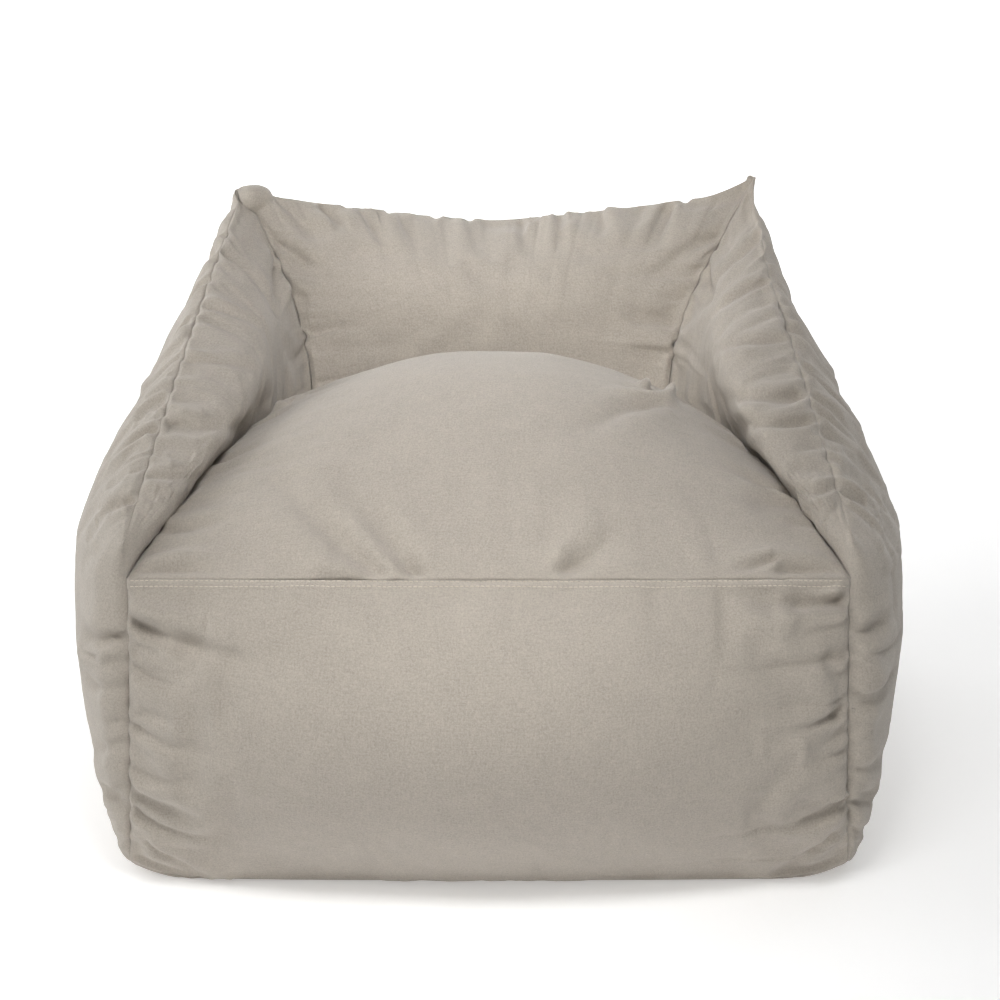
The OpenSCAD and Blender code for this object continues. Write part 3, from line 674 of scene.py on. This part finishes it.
def shifted_corners(rows):
    """The two upper corners: a rolled knob on the left, a pinched tab on the right."""
    far = norm(rows - BACK_TOP, axis=-1, keepdims=True)
    rows = rows + np.array(TAB_PULL) * np.clip(1 - far / TAB_REACH, 0, 1) ** TAB_POINT
    far = norm(rows - (BACK_TOP + np.array(FULL_PLACE)), axis=-1, keepdims=True)
    rows = rows + np.array(FULL_PUSH) * bell(far / FULL_REACH)
    knob = BACK_TOP * MIRROR + np.array(KNOB_PLACE)
    offset = rows - knob
    far = np.maximum(norm(offset * (1, 1, 1.35), axis=-1, keepdims=True), 1e-6)
    size = KNOB_SIZE * (1 + 0.20 * noise(offset / far * 1.6 + 3.1, 33)[..., None])
    rolled = far + KNOB_SOFT * np.log1p(np.exp(np.clip((size - far) / KNOB_SOFT, -40, 40)))
    return knob + offset * rolled / far


def dented(rows):
    """The rear around the zip's ends, drawn in so that the pull tab has room to lie there."""
    for side in (1, -1):
        place = (ZIP_OPEN_TO * side, ZIP_END[1], ZIP_END[2])
        far = norm(rows - place, axis=-1)
        rows[..., 1] -= ZIP_DENT * bell(far / ZIP_DENT_REACH)
    return rows


def closer_rows(rows, last_cells=5, cuts=4):
    """The panel with its last few rows cut finer, for the hem below its top seam."""
    m = rows.shape[0] - 1
    v = np.concatenate([np.arange(m - last_cells), m - last_cells
                        + np.arange(last_cells * cuts + 1) / cuts])
    low = np.minimum(v.astype(int), m - 1)
    part = (v - low)[:, None, None]
    return rows[low] * (1 - part) + rows[low + 1] * part


# ---- meshes
def mesh_object(name, points, quads, material, uv=None):
    points, quads = np.asarray(points, np.float32), np.asarray(quads, np.int32)
    mesh = bpy.data.meshes.new(name)
    mesh.vertices.add(len(points))
    mesh.vertices.foreach_set("co", points.ravel())
    mesh.loops.add(quads.size)
    mesh.loops.foreach_set("vertex_index", quads.ravel())
    mesh.polygons.add(len(quads))
    mesh.polygons.foreach_set("loop_start", np.arange(0, quads.size, quads.shape[1], np.int32))
    mesh.polygons.foreach_set("use_smooth", np.ones(len(quads), bool))
    mesh.update(calc_edges=True)
    if uv is not None:
        layer = mesh.uv_layers.new(name="cloth")
        layer.uv.foreach_set("vector", np.asarray(uv, np.float32)[quads.ravel()].ravel())
    mesh.materials.append(material)
    mesh.validate()
    return placed(name, mesh)


def cloth_object(name, rows, material):
    """A panel as a closed thin layer of cloth."""
    m, n = rows.shape[:2]
    inner = rows - surface_normals(rows) * CLOTH_THICK
    inner[..., 2] = np.maximum(inner[..., 2], FLOOR_GAP)
    count = m * n
    a = (np.arange(m - 1)[:, None] * n + np.arange(n - 1)).ravel()
    outside = np.stack([a, a + 1, a + n + 1, a + n], 1)
    ring = np.concatenate([np.arange(n), np.arange(1, m) * n + n - 1,
                           (m - 1) * n + np.arange(n - 2, -1, -1), np.arange(m - 2, 0, -1) * n])
    after = np.roll(ring, -1)
    rim = np.stack([after, ring, ring + count, after + count], 1)
    quads = np.concatenate([outside, outside[:, ::-1] + count, rim])
    points = np.concatenate([rows.reshape(-1, 3), inner.reshape(-1, 3)])
    gaps = edge_distances(rows)
    uv = np.tile(np.stack([gaps[2], gaps[0]], -1).reshape(-1, 2), (2, 1))
    piece = mesh_object(name, points, quads, material, uv)
    # Closeness to the seams, for the painted highlight along them, which partly stands for rubbed cloth
    near = np.minimum.reduce(gaps).ravel()
    seam_highlight_and_wear = piece.data.attributes.new("seam_highlight_and_wear", "FLOAT", "POINT")
    seam_highlight_and_wear.data.foreach_set("value", np.tile(np.exp(-near / HIGHLIGHT_AND_WEAR_REACH), 2).astype(np.float32))
    return piece


def tube(line, width, sides=6):
    """Rings of points and faces of a round thread along a line, with flat ends."""
    line = np.asarray(line)
    along = np.gradient(line, axis=0)
    along /= norm(along, axis=1, keepdims=True)
    aside = np.cross(along, np.array([0.13, 0.21, 0.97]))
    aside /= norm(aside, axis=1, keepdims=True)
    above = np.cross(aside, along)
    angle = np.arange(sides) * 2 * math.pi / sides
    ring = (aside[:, None] * np.cos(angle)[None, :, None]
            + above[:, None] * np.sin(angle)[None, :, None])
    width = np.broadcast_to(width, (len(line),))
    points = (line[:, None] + ring * width[:, None, None] / 2).reshape(-1, 3)
    first = np.arange(len(line) - 1)[:, None] * sides
    a = (first + np.arange(sides)).ravel()
    b = (first + (np.arange(sides) + 1) % sides).ravel()
    quads = np.stack([a, b, b + sides, a + sides], 1)
    return points, quads


def tubes_object(name, tubes, material):
    points, quads, at = [], [], 0
    for some_points, some_quads in tubes:
        points.append(some_points)
        quads.append(some_quads + at)
        at += len(some_points)
    return mesh_object(name, np.concatenate(points), np.concatenate(quads), material)


# ---- materials
class Nodes:
    """A few short ways to wire a material's nodes."""

    def __init__(self, name):
        self.material = bpy.data.materials.new(name)
        self.material.use_nodes = True
        self.tree = self.material.node_tree
        self.shader = self.tree.nodes["Principled BSDF"]

    def place(self):
        return self.add("TexCoord").outputs["Object"]

    def add(self, kind, **inputs):
        node = self.tree.nodes.new("ShaderNode" + kind)
        for key, value in inputs.items():
            if key in node.inputs:
                self.put(node.inputs[key], value)
            else:
                setattr(node, key, value)
        return node

    def put(self, socket, value):
        if isinstance(value, bpy.types.NodeSocket):
            self.tree.links.new(value, socket)
        else:
            socket.default_value = value

    def math(self, operation, a, b=0.0, c=0.0):
        node = self.add("Math", operation=operation)
        for socket, value in zip(node.inputs, (a, b, c)):
            self.put(socket, value)
        return node.outputs[0]

    def noise(self, vector, scale, detail=2.0, rough=0.5):
        node = self.add("TexNoise", Scale=scale, Detail=detail, Roughness=rough, Vector=vector)
        return node.outputs["Fac"]

    def stretch(self, vector, x, y, z=1.0):
        node = self.add("Mapping")
        self.put(node.inputs["Vector"], vector)
        self.put(node.inputs["Scale"], (x, y, z))
        return node.outputs["Vector"]

    def mix(self, share, a, b):
        node = self.add("Mix", data_type="RGBA")
        self.put(node.inputs[0], share)
        self.put(node.inputs[6], a)
        self.put(node.inputs[7], b)
        return node.outputs[2]

    def bump(self, height, distance, under=None):
        node = self.add("Bump")
        self.put(node.inputs["Height"], height)
        self.put(node.inputs["Distance"], distance)
        if under is not None:
            self.put(node.inputs["Normal"], under)
        return node.outputs["Normal"]

    def finish(self, **inputs):
        for key, value in inputs.items():
            self.put(self.shader.inputs[key.replace("_", " ")], value)
        return self.material


def shade(colour, factor):
    return tuple(c * factor for c in colour) + (1,)


def woven(name, colour, pitch, nap=0.3, depth=0.0002, highlighted_seams=True):
    """Plain-weave cloth: yarns over and under, slubs along them, soft blotches, and a painted highlight
    on the seams that is partly rubbed cloth.
    """
    n = Nodes(name)
    place = n.place()
    cloth_place = n.add("UVMap").outputs["UV"]
    split = n.add("SeparateXYZ", Vector=cloth_place)
    turn = math.pi / pitch
    over = n.math("SINE", n.math("MULTIPLY", split.outputs["X"], turn))
    under = n.math("SINE", n.math("MULTIPLY", split.outputs["Y"], turn))
    weave = n.math("ABSOLUTE", n.math("MULTIPLY", over, under))
    warp = n.noise(n.stretch(cloth_place, 0.06 / pitch, 1.1 / pitch), 1.0, 3.0, 0.6)
    weft = n.noise(n.stretch(cloth_place, 1.1 / pitch, 0.06 / pitch), 1.0, 3.0, 0.6)
    yarn = n.math("MULTIPLY", n.math("ADD", warp, weft), 0.5)
    grain = n.noise(place, 900.0, 2.0, 0.7)
    mottle = n.noise(place, 520.0, 3.0, 0.7)
    blotch = n.noise(place, 26.0, 3.0, 0.55)
    tone = n.math("MULTIPLY_ADD", yarn, 0.55, -0.275)
    for part, strength, shift in ((mottle, 0.70, -0.35), (grain, 0.35, -0.175),
                                  (weave, 0.12, -0.06), (blotch, 0.14, 0.43)):
        tone = n.math("ADD", tone, n.math("MULTIPLY_ADD", part, strength, shift))
    tone_node = n.add("Clamp")
    n.put(tone_node.inputs["Value"], tone)
    shaded = n.mix(tone_node.outputs[0], shade(colour, 0.50), shade(colour, 1.50))
    rough = n.math("MULTIPLY_ADD", blotch, 0.16, 0.80)
    # Lighter patches along the seams: a painted highlight on the seam edges, partly rubbed cloth
    if highlighted_seams:
        seam_highlight_and_wear = n.add("Attribute", attribute_name="seam_highlight_and_wear", attribute_type="GEOMETRY").outputs["Fac"]
        patchy = n.math("MULTIPLY", seam_highlight_and_wear, n.noise(place, 120.0, 3.0, 0.6))
        shaded = n.mix(n.math("MULTIPLY", patchy, 0.35), shaded, shade(colour, 1.32))
    height = n.math("ADD", n.math("MULTIPLY", weave, 0.6), n.math("MULTIPLY", yarn, 0.9))
    height = n.math("ADD", height, n.math("MULTIPLY", grain, 0.5))
    fine = n.bump(height, depth)
    coarse_bump = n.bump(mottle, depth * 3.0, fine)
    return n.finish(Base_Color=shaded, Roughness=rough, Normal=coarse_bump, IOR=1.4,
                    Sheen_Weight=nap, Sheen_Roughness=0.5, Specular_IOR_Level=0.2)


def thread_material(name, colour):
    n = Nodes(name)
    place = n.place()
    twist = n.noise(place, 2200.0, 2.0, 0.5)
    patch = n.noise(place, 140.0, 2.0, 0.5)
    share = n.math("ADD", n.math("MULTIPLY", twist, 0.6), n.math("MULTIPLY", patch, 0.4))
    shaded = n.mix(share, shade(colour, 0.72), shade(colour, 1.22))
    return n.finish(Base_Color=shaded, Roughness=0.8, Sheen_Weight=0.2,
                    Normal=n.bump(twist, 0.0002))


def nylon_material(name, colour):
    n = Nodes(name)
    place = n.place()
    rub = n.noise(place, 320.0, 3.0, 0.6)
    shaded = n.mix(rub, shade(colour, 0.8), shade(colour, 1.15))
    return n.finish(Base_Color=shaded, Roughness=n.math("MULTIPLY_ADD", rub, 0.3, 0.3),
                    Normal=n.bump(rub, 0.0001))


def metal_material(name, colour):
    n = Nodes(name)
    place = n.place()
    scratch = n.noise(n.stretch(place, 40.0, 900.0, 300.0), 1.0, 4.0, 0.7)
    cast = n.noise(place, 500.0, 3.0, 0.6)
    shaded = n.mix(scratch, shade(colour, 0.75), shade(colour, 1.2))
    rough = n.math("ADD", n.math("MULTIPLY", scratch, 0.25),
                   n.math("MULTIPLY_ADD", cast, 0.2, 0.15))
    return n.finish(Base_Color=shaded, Metallic=0.85, Roughness=rough, Normal=n.bump(cast, 0.00008))


def bead_material(name, colour):
    """Loose foam beads seen as packed cells, with painted shade in the gaps between them."""
    n = Nodes(name)
    place = n.place()
    cell = n.add("TexVoronoi", feature="F1", Scale=240.0, Vector=place)
    ball = n.math("SUBTRACT", 1.0, n.math("MULTIPLY", cell.outputs["Distance"], 1.4))
    pits = n.noise(place, 1500.0, 2.0, 0.5)
    # Colour darker towards each cell's edge: painted shade between the beads
    shaded = n.mix(ball, shade(colour, 0.55), shade(colour, 1.02))
    height = n.math("ADD", ball, n.math("MULTIPLY", pits, 0.1))
    return n.finish(Base_Color=shaded, Roughness=0.6, Normal=n.bump(height, 0.003))


def all_materials():
    colour = {m["slot"]: tuple(m["base_color"]) for m in frame["record"]["materials"]}
    made = {
        "cover_fabric": woven("cover_fabric", COVER_COLOUR, 0.0011),
        "liner_fabric": woven("liner_fabric", colour["liner_fabric"], 0.0008, 0.05, 0.0001, False),
    }
    for slots, make, settings in (
            (("topstitch_thread", "seam_thread", "liner_thread"), thread_material, ()),
            (("zip_tape", "liner_zip_tape"), woven, (0.0006, 0.1, 0.0001, False)),
            (("zip_coil", "liner_zip_coil"), nylon_material, ()),
            (("zip_metal",), metal_material, ()), (("beads",), bead_material, ())):
        for slot in slots:
            made[slot] = make(slot, colour[slot], *settings)
    return made


# ---- the other pieces
COVER_COLOUR = (0.437, 0.392, 0.337)
THREAD, STITCH_PITCH, STITCH_LENGTH = 0.0009, 0.0049, 0.0037
# The seam threads: where they start along a seam, their points' spacing, wave and depth
THREAD_START, THREAD_STEP, THREAD_WAVE, THREAD_SWING = 0.030, 0.0011, 0.0035, 0.0004
THREAD_DEPTH = 0.0035
COIL_PITCH, COIL_THICK, COIL_GAP = 0.0022, 0.0010, 0.0003
# How far the liner and the fill keep out of the valleys beside the seat and the top corners
VALLEY_CLEAR, VALLEY_REACH = 0.080, 0.085
CORNER_CLEAR, CORNER_REACH = 0.026, 0.05
TUCK_STEPS, TUCK_MOST, TUCK_SHARE = 5, 0.012, 0.9
LINER_DEPTH, FILL_DEPTH = 0.0130, 0.0180


def line_lengths(line):
    return np.concatenate([[0], np.cumsum(norm(np.diff(line, axis=0), axis=1))])


def along_line(line, places):
    length = line_lengths(line)
    return np.stack([np.interp(places, length, line[:, k]) for k in range(3)], -1)


def stitch_row(rows, below):
    """Single stitches in a row on a panel, at a distance below its top seam."""
    normal = surface_normals(rows)
    _, from_top, _, _ = edge_distances(rows)
    line, out = (np.array([[np.interp(-below, -from_top[:, i], grid[:, i, k]) for k in range(3)]
                           for i in range(rows.shape[1])]) for grid in (rows, normal))
    length = line_lengths(line)
    tubes = []
    wander = np.random.default_rng(7)
    for start in np.arange(0.004, length[-1] - 0.008, STITCH_PITCH):
        t = np.linspace(0, 1, 7)
        places = start + t * STITCH_LENGTH * wander.uniform(0.93, 1.05)
        way = np.stack([np.interp(places, length, out[:, k]) for k in range(3)], -1)
        rise = THREAD * (0.42 * np.sin(np.pi * t) ** 0.6 - 0.12)
        points = along_line(line, places) + way * rise[:, None]
        tubes.append(tube(points, THREAD * np.array([0.5, 0.85, 1, 1, 1, 0.85, 0.5])))
    return tubes


def seam_thread_tube(lines):
    """A sewn thread that weaves through the seam allowance behind a seam."""
    line = np.concatenate(lines)
    keep = np.concatenate([[True], norm(np.diff(line, axis=0), axis=1) > 1e-5])
    line = line[keep]
    length = line_lengths(line)
    places = np.arange(THREAD_START, length[-1] - THREAD_START, THREAD_STEP)
    points = along_line(line, places)
    side = np.cross(np.gradient(points, axis=0), (0.2, 0.3, 0.9))
    side /= norm(side, axis=1, keepdims=True)
    swing = THREAD_SWING * np.sin(places * 2 * np.pi / THREAD_WAVE)
    return tube(points + side * swing[:, None], THREAD)


def cover_tree(panels):
    """The cover's surface as a search tree, with the way out of the bag at each point."""
    points, normals = (np.concatenate([grid[::3, ::3].reshape(-1, 3) for grid in grids])
                       for grids in (panels.values(), map(surface_normals, panels.values())))
    return point_tree(points), points, normals


def point_tree(points):
    tree = kdtree.KDTree(len(points))
    for k, p in enumerate(points):
        tree.insert(p, k)
    tree.balance()
    return tree


def cleared_valleys(points):
    """Points near the seams beside the seat, moved down from the valleys there into the bag."""
    seat = panels["seat_panel"]
    tree = point_tree(np.concatenate([seat[::3, 0], seat[::3, -1]]))
    far = np.array([tree.find(p)[2] for p in points])
    down = np.zeros_like(points)
    down[:, 0], down[:, 2] = 0.35 * np.sign(points[:, 0]), -0.94
    return points + down * (VALLEY_CLEAR * bell(far / VALLEY_REACH))[:, None]


def tucked(points, depth):
    """Points moved so that they lie at least a depth inside the cover."""
    tree, places, normals = cover
    for _ in range(TUCK_STEPS):
        ids = np.array([tree.find(p)[1] for p in points])
        out = ((points - places[ids]) * normals[ids]).sum(1)
        push = np.clip(out + depth, 0, TUCK_MOST)
        points = points - normals[ids] * push[:, None] * TUCK_SHARE
    return points


def softened(node, material, scale, crinkle, wave, depth):
    """A CAD node with its facets rounded off and its surface crinkled, inside the cover."""
    net = bmesh.new()
    net.from_mesh(frame["nodes"][node].data)
    bmesh.ops.remove_doubles(net, verts=net.verts, dist=1e-5)
    mesh = bpy.data.meshes.new(node + "_soft")
    net.to_mesh(mesh)
    net.free()
    piece = placed(node + "_soft", mesh)
    rounding = piece.modifiers.new("rounding", "SUBSURF")
    rounding.levels = 2
    rounding.boundary_smooth = "PRESERVE_CORNERS"
    smooth, points = evaluated(piece)
    quads = np.zeros(len(smooth.loops), int)
    smooth.loops.foreach_get("vertex_index", quads)
    quads = quads.reshape(-1, 4)
    bpy.data.objects.remove(piece)
    low = points[:, 2].min()
    shift = np.stack([noise(points / wave + 7.3 * k, 80 + k) for k in range(3)], -1)
    shift += 0.4 * np.stack([noise(points * 2.7 / wave, 90 + k) for k in range(3)], -1)
    points = points * scale + shift * crinkle * np.clip((points[:, 2:] - low) / 0.02, 0, 1)
    points[:, 2] = np.maximum(points[:, 2], low)
    for side in (1, -1):
        far = norm(points - BACK_TOP * (side, 1, 1), axis=1)
        way = np.array([0.4 * side, 0.3, 0.9]) * CORNER_CLEAR
        points -= way * bell(far / CORNER_REACH)[:, None]
    points = tucked(cleared_valleys(points), depth)
    uv = np.stack([points[:, 0] + points[:, 1] * 0.4, points[:, 2] + points[:, 1] * 0.4], -1)
    return mesh_object(node + "_soft", points, quads, material, uv)


def coil_teeth(node, upper, material):
    """One row of a zip's coil: a loop for each tooth, joined by a cord along the tape."""
    lo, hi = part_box(node)
    pitch, thick = COIL_PITCH, COIL_THICK
    middle = (lo.y + hi.y) / 2
    outer, inner = (hi.z, lo.z) if upper else (lo.z, hi.z)
    outer += -thick / 2 if upper else thick / 2
    inner += (thick * 0.6 + COIL_GAP) * (1 if upper else -1)
    tubes = []
    for x in np.arange(lo.x + pitch, hi.x - pitch / 2, pitch) - (0 if upper else pitch / 2):
        z = outer + (inner - outer) * np.array([0, 0.35, 0.75, 1.0, 0.75, 0.35, 0])
        y = middle + 0.0006 * np.array([-1, -1, -0.8, 0, 0.8, 1, 1])
        points = np.stack([np.full(7, x) + 0.00015 * np.linspace(-1, 1, 7), y, z], -1)
        tubes.append(tube(points, thick * np.array([0.8, 0.8, 0.9, 1.1, 0.9, 0.8, 0.8]), 5))
    cord = np.stack([np.linspace(lo.x, hi.x, 60), np.full(60, middle), np.full(60, outer)], -1)
    tubes.append(tube(cord, thick * 0.9))
    return tubes_object(node + "_teeth", tubes, material)


# ---- making everything
def built(piece, slot, *nodes):
    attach(piece, "bag")
    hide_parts(*nodes)


def declare_sheet(rows):
    """Works out how long, wide and large the cloth of a panel is when it lies flat, and keeps none of
    it.
    """
    low, _, start, _ = edge_distances(rows)
    flat = (round(float(start[:, -1].max()), 3), round(float(low[-1].max()), 3))
    a, b = rows[1:, 1:] - rows[:-1, :-1], rows[1:, :-1] - rows[:-1, 1:]
    area = min(norm(np.cross(a, b), axis=-1).sum() / 2, flat[0] * flat[1])


make_camera()
make_studio()
materials = all_materials()
FINE = 4
coarse = bag_panels()
moves = puffed(coarse)
shape = bag_panels(FINE)
panels = {name: rows + refined(moves[name], FINE) * calm_nose(rows, PUFF_CALM)[..., None] * PUFF_SHARE
          for name, rows in shape.items()}
cover = cover_tree(panels)
panels["front_panel"] = closer_rows(panels["front_panel"])
panels = {name: shifted_corners(rows + surface_normals(rows) * panel_lift(name, rows)[..., None])
          for name, rows in panels.items()}
for name in ("rear_panel", "rear_zip_band"):
    panels[name] = dented(panels[name])
panels, outwards = sewn(panels)
hem = edge_distances(panels["front_panel"])[1]
raised = np.clip(hem / 0.0008, 0, 1) * np.clip((HEM_WIDTH - hem) / 0.0012, 0, 1) * HEM_RAISE
for row_place in (STITCH_EDGE, STITCH_EDGE + STITCH_ROWS):
    raised -= STITCH_DIP * bell((hem - row_place) / STITCH_DIP_REACH)
panels["front_panel"] += surface_normals(panels["front_panel"]) * raised[..., None]

for name, rows in panels.items():
    rows[..., 2] = np.maximum(rows[..., 2], 0)
    piece = cloth_object(name + "_cloth", rows, materials["cover_fabric"])
    built(piece, "cover_fabric", name)
    declare_sheet(rows)

for node, place in (("front_topstitch_upper", STITCH_EDGE),
                    ("front_topstitch_lower", STITCH_EDGE + STITCH_ROWS)):
    row = tubes_object(node + "_row", stitch_row(panels["front_panel"], place),
                       materials["topstitch_thread"])
    built(row, "topstitch_thread", node)

BORDER = {"bottom": np.s_[0], "top": np.s_[-1], "start": np.s_[:, 0], "end": np.s_[:, -1]}
# The seams with a thread of their own, each as the edges of panels that run along it
HANDS = (("right", "end", "start"), ("left", "start", "end"))
SEAMS = {"seat_back": [("seat_panel", "top")], "back_top": [("backrest_panel", "top")]}
for name, panel in (("front", "front"), ("seat", "seat"), ("back", "backrest")):
    for hand, near, _ in HANDS:
        SEAMS[f"{hand}_{name}"] = [(panel + "_panel", near)]
for hand, _, _ in HANDS:
    SEAMS[hand + "_arm_top"] = [(hand + "_side_panel", "top")]
for hand, _, far in HANDS:
    SEAMS[hand + "_rear"] = [("rear_zip_band", far), ("rear_panel", far)]
SEAMS["base"] = [(name, "bottom") for name in (
    "front_panel", "right_side_panel", "rear_zip_band", "left_side_panel")]
for name, parts in SEAMS.items():
    lines = [panels[p][BORDER[edge]] - outwards[p][BORDER[edge]] * THREAD_DEPTH for p, edge in parts]
    thread = tubes_object(name + "_seam_stitching", [seam_thread_tube(lines)],
                          materials["seam_thread"])
    built(thread, "seam_thread", name + "_seam_thread")

for prefix, slot in (("cover", "zip_coil"), ("liner", "liner_zip_coil")):
    for side in ("upper", "lower"):
        node = f"{prefix}_zip_{side}_coil"
        built(coil_teeth(node, side == "upper", materials[slot]), slot, node)

LINER_SCALE = np.array([0.998, 0.995, 0.988])
for node in ("liner_bag", "liner_base", "liner_rear_band"):
    piece = softened(node, materials["liner_fabric"], LINER_SCALE, 0.0016, 0.030, LINER_DEPTH)
    built(piece, "liner_fabric", node)
fill = softened("bead_fill", materials["beads"], LINER_SCALE * 0.995, 0.002, 0.05, FILL_DEPTH)
built(fill, "beads", "bead_fill")

for row in frame["record"]["subparts"]:
    mesh = frame["nodes"][row["node"]].data
    mesh.materials.clear()
    mesh.materials.append(materials[row["material_slot"]])
